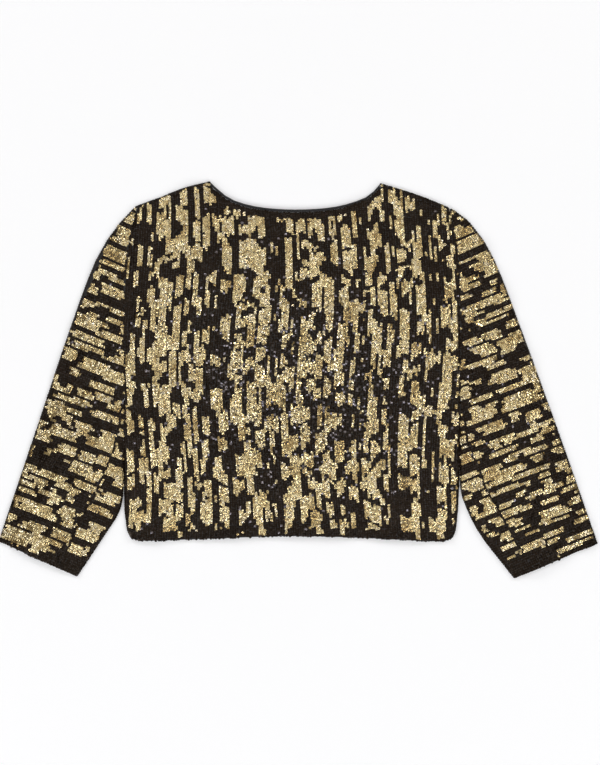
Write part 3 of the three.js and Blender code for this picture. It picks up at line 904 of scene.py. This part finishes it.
class BLOUSE_OT_body_cloth(bpy.types.Operator):
    """Back and front panels of black net"""

    bl_idname = "blouse.body_cloth"
    bl_label = "Back and front"

    def execute(self, context):
        make_cloth(BODY_CUTS)
        return {"FINISHED"}


class BLOUSE_OT_sleeve_cloth(bpy.types.Operator):
    """Top and under pieces of both sleeves, of black net"""

    bl_idname = "blouse.sleeve_cloth"
    bl_label = "Sleeves"

    def execute(self, context):
        make_cloth(SLEEVE_CUTS)
        return {"FINISHED"}


class BLOUSE_OT_neck_binding(bpy.types.Operator):
    """Woven strip round the neck, with its rounded edges"""

    bl_idname = "blouse.neck_binding"
    bl_label = "Neck binding"

    def execute(self, context):
        cloth = context.scene.blouse_cloth
        colour = cloth.binding_colour
        ribbon = woven("black_ribbon", colour, BINDING_THREAD, BINDING_TURN, strength=0.7)
        for node in BINDINGS:
            form = bmesh.new()
            form.from_mesh(frame["nodes"][node].data)
            bmesh.ops.remove_doubles(form, verts=form.verts, dist=MERGE_DISTANCE)
            rims = [e for e in form.edges if e.is_manifold and e.calc_face_angle() > SHARP_ANGLE]
            bmesh.ops.bevel(
                form,
                geom=rims,
                offset=BINDING_ROUNDING,
                affect="EDGES",
                segments=3,
                profile=0.5,
                material=-1,
                clamp_overlap=True,
            )
            mesh = bpy.data.meshes.new(node)
            form.to_mesh(mesh)
            form.free()
            mesh.shade_smooth()
            strip = add_piece(node + "_strip", mesh, ribbon)
            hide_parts(node)
        return {"FINISHED"}


def tips(count, spread, lean, rng):
    """How far each sequin tips along and across its row."""
    tip = rng.normal(0, 1, (count, 2)) * spread[:, None]
    tip[:, 0] -= math.tan(lean)
    return tip


def on_outer_layer(landing, allowed, side):
    """Which places lie on the outer layer of the allowed pieces, and level enough for a sequin."""
    height = landing.places[:, 2]
    outer = height > UPPER_FROM if side > 0 else height < UPPER_FROM
    facing = landing.normals[:, 2] * side > STEEPEST
    return landing.found & np.isin(landing.owners, allowed) & outer & facing


def room_around(places, own, numbers, all_places, kept):
    """Whether each place is far enough from the kept sequins next to it in the rows."""
    room = np.ones(len(places), bool)
    for rows in (-1, 0, 1):
        for steps in (-1, 0, 1):
            neighbour = np.roll(numbers, (rows, steps), axis=(0, 1)).ravel()[own]
            distance = np.linalg.norm(all_places[neighbour] - places, axis=1)
            room &= ~kept[neighbour] | (distance > LEAST_DISTANCE)
    return room


def with_edges_filled(landing, kept, starts, shape, surface, allowed, side):
    """Places just past an edge, moved back on to the cloth, so that no edge is left bare."""
    numbers = np.arange(len(starts)).reshape(shape)
    values = [np.array(part) for part in landing]
    filled = kept.copy()
    for axis in (0, 1):
        for way in (1, -1):
            neighbour = np.roll(numbers, way, axis=axis).ravel()
            border = np.flatnonzero(~filled & kept[neighbour])
            step = starts[neighbour[border]] - starts[border]
            near = np.linalg.norm(step, axis=1) < EDGE_REACH
            border, step = border[near], step[near]
            extra = land(surface, starts[border] + EDGE_SHARE * step, side)
            good = on_outer_layer(extra, allowed, side)
            good &= room_around(extra.places, border, numbers, values[1], filled)
            for part, found in zip(values, extra):
                part[border[good]] = found[good]
            filled[border[good]] = True
    return Landing(*values), filled


def region_sequins(region, surface, folds, side, rng):
    """The sequins of a region on its upper side (+1) or its underside (-1)."""
    sequins = bpy.context.scene.blouse_sequins
    places = row_places(region, sequins, rng)
    shape = places.shape[:2]
    flat = places.reshape(-1, 3)
    starts = flat + np.array([0, 0, RAY_HEIGHT * side])
    landing = land(surface, starts, side)
    allowed = [
        number
        for number, name in enumerate(surface.names)
        if name.endswith("_cloth") and name.startswith("sleeve") == region.name.startswith("sleeve")
    ]
    inner = on_outer_layer(landing, allowed, side)
    landing, kept = with_edges_filled(landing, inner, starts, shape, surface, allowed, side)
    gold = gold_places(region, shape, kept.reshape(shape), surface, landing, rng).ravel()
    if region.name == "body":
        gold &= inner
    normals = landing.normals
    lift = UPPER_LIFT if side > 0 else UNDER_LIFT
    lift = lift + MM * side * rng.uniform(-LIFT_SPREAD, LIFT_SPREAD, (len(flat), 1))
    centres = landing.places + normals * lift
    along = np.tile(direction(region.row_angle), (len(flat), 1))
    x, y = flat[:, 0], flat[:, 1]
    middle = np.exp(-((x / LIVELY_WIDTH) ** 2) - ((y - LIVELY_MIDDLE) / LIVELY_HEIGHT) ** 2)
    lively = STILL_SHARE + (1 - STILL_SHARE) * middle
    spread = math.tan(sequins.liveliness) * lively * (1 if side > 0 else UNDER_LIVELINESS)
    lean = sequins.lean if side > 0 else sequins.lean * UNDER_LEAN
    tip = tips(len(flat), spread, lean, rng)
    shade = rng.beta(SHADE_SHAPE, SHADE_SHAPE, len(flat))
    # Painted shade: broad patches in which the sequins' colour is darkened, the gold towards brown,
    # like the shaded sides of folds
    painted_shade = np.clip(waves(x, y, sequins.painted_shade_size, rng) - PAINTED_SHADE_FROM, 0, 1)
    shade = BRIGHTEST * shade * (1 - PAINTED_SHADE_DEPTH * painted_shade)
    shade[~gold & (rng.uniform(0, 1, len(flat)) <= GLINT_SHARE * middle)] = 1.0
    pick = np.flatnonzero(kept)
    lot = Sequins(centres[pick], normals[pick], along[pick], shade[pick], gold[pick], tip[pick])
    return with_fold_row(lot, folds, allowed, side, rng)


def fold_edges(surface, side):
    """Places on the folds, just inside the outline, with the way out from each and its piece."""
    reach = (FOLD_REACH_X, FOLD_REACH_Y)
    edges, ways = [], []
    for axis in (0, 1):
        across = np.arange(-reach[axis], reach[axis] + 1) * MM
        steady = np.arange(-reach[1 - axis], reach[1 - axis] + 1, FOLD_STEP) * MM
        grid = np.stack(np.meshgrid(across, steady, indexing="xy"), axis=-1)
        if axis == 1:
            grid = grid[..., ::-1]
        height = np.full(grid.shape[:2] + (1,), RAY_HEIGHT * side)
        starts = np.concatenate([grid, height], axis=-1)
        found = land(surface, starts.reshape(-1, 3), side).found.reshape(grid.shape[:2])
        for way in (1, -1):
            leaves = found[:, :-1] & ~found[:, 1:] if way > 0 else found[:, 1:] & ~found[:, :-1]
            row, column = np.nonzero(leaves)
            column = column if way > 0 else column + 1
            step = np.zeros(3)
            step[axis] = way
            edges.append(starts[row, column])
            ways.append(np.tile(step, (len(row), 1)))
    edges, ways = np.concatenate(edges), np.concatenate(ways)
    inner, outer = np.zeros(len(edges)), np.full(len(edges), MM)
    for _ in range(FOLD_SEARCH_STEPS):
        middle = (inner + outer) / 2
        found = land(surface, edges + ways * middle[:, None], side).found
        inner, outer = np.where(found, middle, inner), np.where(found, outer, middle)
    landing = land(surface, edges + ways * (inner - FOLD_INSIDE)[:, None], side)
    level = landing.normals * [1, 1, 0]
    slope = np.linalg.norm(level, axis=1)
    facing = np.einsum("ij,ij->i", unit_vectors(level), ways)
    good = landing.found & (slope > FOLD_SLOPE) & (facing > FOLD_FACING)
    return landing.places[good], unit_vectors(level[good]), landing.owners[good]


def with_fold_row(lot, folds, allowed, side, rng):
    """The lot with one more row of sequins, all black, which turns over the folds."""
    own = np.isin(folds[2], allowed)
    edges, ways = folds[0][own], folds[1][own]
    normals = unit_vectors(ways + [0, 0, FOLD_TURN * side])
    count = len(edges)
    spread = np.full(count, FOLD_TIP)
    more = Sequins(
        edges + normals * FOLD_LIFT,
        normals,
        np.cross(normals, [0, 0, 1]),
        rng.beta(SHADE_SHAPE, SHADE_SHAPE, count),
        np.zeros(count, bool),
        tips(count, spread, 0.0, rng),
    )
    return Sequins(*(np.concatenate(pair) for pair in zip(lot, more)))


def under_pieces(surface):
    """The numbers of the sleeves' under pieces."""
    return [k for k, name in enumerate(surface.names) if name.startswith("sleeve_under")]


def gold_places(region, shape, kept, surface, landing, rng):
    """The region's layout of gold, with black along the hem, the neck and the cuffs."""
    sequins = bpy.context.scene.blouse_sequins
    share = sequins.gold_share if region.name == "body" else sequins.sleeve_gold_share
    gold = streak_layout(shape, share, rng)
    rows, steps = np.indices(shape)
    if region.name == "body":
        first = np.where(kept.any(axis=1), kept.argmax(axis=1), shape[1])
        last = shape[1] - 1 - kept[:, ::-1].argmax(axis=1)
        from_hem = (steps - first[:, None]) * sequins.pitch
        from_neck = (last[:, None] - steps) * sequins.pitch
        x = landing.places[:, 0].reshape(shape)
        at_neck = (x > NECK_LEFT) & (x < NECK_RIGHT)
        spared = (rows // 3 * 7) % 11 < 3  # rows, three by three, that keep their gold at the hem
        gold &= ~((from_hem < HEM_BLACK) & ~spared) & ~(from_hem < HEM_EDGE)
        gold &= ~(at_neck & (from_neck < NECK_BLACK))
        left = kept.argmax(axis=0)
        right = shape[0] - 1 - kept[::-1].argmax(axis=0)
        gold &= (rows > left) & (rows < right)
    else:
        last = shape[0] - 1 - kept[::-1].argmax(axis=0)
        from_cuff = (last[None, :] - rows) * sequins.row_spacing
        inner_half = steps * sequins.pitch > INNER_HALF + INNER_HALF_SPREAD * np.sin(rows)
        under = np.isin(landing.owners, under_pieces(surface)).reshape(shape)
        gold = np.where(under, np.roll(gold, UNDER_SHIFT, axis=(0, 1)), gold)
        gold &= ~((from_cuff < CUFF_BLACK) & inner_half) & (from_cuff > CUFF_EDGE)
        seam = (under[:, 1:] != under[:, :-1]) & kept[:, 1:] & kept[:, :-1]
        gold[:, 1:] &= ~seam
    return gold


def make_sequins(names):
    """Gold and black sequins of the named regions, on both sides."""
    sequins = bpy.context.scene.blouse_sequins
    gold = bpy.data.materials.get("gold_foil") or gold_foil(sequins.gold_colour)
    black = bpy.data.materials.get("black_foil") or black_foil(sequins.black_colour)
    surface = outer_surface()
    for side, sides, label in LAYERS:
        folds = fold_edges(surface, side)
        for number, region in enumerate(REGIONS):
            if region.name not in names:
                continue
            rng = np.random.default_rng(sequins.seed + 10 * number + side)
            lot = region_sequins(region, surface, folds, side, rng)
            for colour, material in (("gold", gold), ("black", black)):
                picked = lot.gold if colour == "gold" else ~lot.gold
                part = Sequins(*(values[picked] for values in lot))
                name = f"sequins_{colour}_{region.name}_{label}"
                mesh = joined_sequins(name, sides, sequins, part)
                add_piece(name, mesh, material)


class BLOUSE_OT_body_sequins(bpy.types.Operator):
    """Sequins of the back and the front, in upright rows"""

    bl_idname = "blouse.body_sequins"
    bl_label = "Body sequins"

    def execute(self, context):
        make_sequins(["body"])
        return {"FINISHED"}


class BLOUSE_OT_sleeve_sequins(bpy.types.Operator):
    """Sequins of the sleeves, in rows across the arm"""

    bl_idname = "blouse.sleeve_sequins"
    bl_label = "Sleeve sequins"

    def execute(self, context):
        make_sequins(["sleeve_left", "sleeve_right"])
        return {"FINISHED"}


class BLOUSE_OT_soft_goods(bpy.types.Operator):
    """Takes no step of its own; the cuts of the cloth are listed in BODY_CUTS and SLEEVE_CUTS"""

    bl_idname = "blouse.soft_goods"
    bl_label = "Cuts of the cloth"

    def execute(self, context):
        return {"FINISHED"}


class BLOUSE_OT_stage(bpy.types.Operator):
    """Plain pale floor, soft studio light and the camera above"""

    bl_idname = "blouse.stage"
    bl_label = "Stage"

    def execute(self, context):
        stage = context.scene.blouse_stage
        make_floor(stage)
        make_lights(stage)
        make_camera(stage)
        context.scene.view_settings.view_transform = "Standard"
        return {"FINISHED"}


def make_floor(stage):
    """The floor, just under the blouse."""
    form = bmesh.new()
    bmesh.ops.create_grid(form, x_segments=1, y_segments=1, size=FLOOR_REACH)
    mesh = bpy.data.meshes.new("floor")
    form.to_mesh(mesh)
    form.free()
    material, shader, nodes, link = new_material("floor_paint")
    grain = object_noise(nodes, link, 3)
    darker = tinted(stage.floor_colour, 0.995, 0.995, 0.995)
    stops = [(0.0, darker), (1.0, tuple(stage.floor_colour))]
    link(colour_ramp(nodes, link, grain, stops), shader.inputs["Base Color"])
    shader.inputs["Roughness"].default_value = 0.9
    shader.inputs["Specular IOR Level"].default_value = 0.1
    shader.inputs["Emission Color"].default_value = (1, 1, 0.99, 1)
    shader.inputs["Emission Strength"].default_value = 0.12
    mesh.materials.append(material)
    floor = bpy.data.objects.new("floor", mesh)
    bpy.context.scene.collection.objects.link(floor)


def add_lamp(group, number):
    """One square lamp of a group, aimed at the blouse."""
    name = f"lamp_{group.name}_{number}"
    azimuth, polar = group.places[number]
    lamp = bpy.data.lights.new(name, "AREA")
    lamp.shape = "SQUARE"
    lamp.size = group.size
    lamp.energy = group.power
    lamp.color = group.colour
    holder = bpy.data.objects.new(name, lamp)
    a, p = math.radians(azimuth), math.radians(polar)
    place = Vector((math.sin(p) * math.cos(a), math.sin(p) * math.sin(a), math.cos(p)))
    place *= group.distance
    holder.location = place
    holder.rotation_mode = "QUATERNION"
    holder.rotation_quaternion = (-place).to_track_quat("-Z", "Y")
    bpy.context.scene.collection.objects.link(holder)


def make_lights(stage):
    """Even daylight, wide lamps low round the blouse, and soft and small ones high above it."""
    world = bpy.data.worlds.new("daylight")
    world.use_nodes = True
    background = world.node_tree.nodes["Background"]
    background.inputs["Color"].default_value = (1.0, 0.87, 0.69, 1)
    background.inputs["Strength"].default_value = stage.daylight
    bpy.context.scene.world = world
    for group in LAMP_GROUPS:
        for number in range(len(group.places)):
            add_lamp(group, number)


def make_camera(stage):
    """The camera straight above, framed as in the photograph."""
    data = bpy.data.cameras.new("camera")
    data.sensor_width = SENSOR_WIDTH
    data.lens = SENSOR_WIDTH * stage.camera_height / FRAMED_LENGTH
    data.clip_end = FARTHEST_SEEN
    camera = bpy.data.objects.new("camera", data)
    camera.location = (CAMERA_X, CAMERA_Y, stage.camera_height)
    bpy.context.scene.collection.objects.link(camera)
    bpy.context.scene.camera = camera


STEPS = [
    "body_cloth",
    "sleeve_cloth",
    "neck_binding",
    "body_sequins",
    "sleeve_sequins",
    "soft_goods",
    "stage",
]


class BLOUSE_PT_pieces(bpy.types.Panel):
    """The blouse's pieces, in the order in which they are made"""

    bl_label = "Blouse"
    bl_idname = "BLOUSE_PT_pieces"
    bl_space_type = "VIEW_3D"
    bl_region_type = "UI"
    bl_category = "Blouse"

    def draw(self, context):
        for step in STEPS:
            self.layout.operator("blouse." + step)
        for group in ("blouse_cloth", "blouse_sequins", "blouse_stage"):
            settings = getattr(context.scene, group)
            for name in settings.__annotations__:
                self.layout.prop(settings, name)


CLASSES = [
    BlouseCloth,
    BlouseSequins,
    BlouseStage,
    BLOUSE_OT_body_cloth,
    BLOUSE_OT_sleeve_cloth,
    BLOUSE_OT_neck_binding,
    BLOUSE_OT_body_sequins,
    BLOUSE_OT_sleeve_sequins,
    BLOUSE_OT_soft_goods,
    BLOUSE_OT_stage,
    BLOUSE_PT_pieces,
]


def register():
    for entry in CLASSES:
        bpy.utils.register_class(entry)
    bpy.types.Scene.blouse_cloth = PointerProperty(type=BlouseCloth)
    bpy.types.Scene.blouse_sequins = PointerProperty(type=BlouseSequins)
    bpy.types.Scene.blouse_stage = PointerProperty(type=BlouseStage)


def unregister():
    del bpy.types.Scene.blouse_stage
    del bpy.types.Scene.blouse_sequins
    del bpy.types.Scene.blouse_cloth
    for entry in reversed(CLASSES):
        bpy.utils.unregister_class(entry)


def main():
    register()
    for step in STEPS:
        getattr(bpy.ops.blouse, step)()


if __name__ == "__main__":
    main()
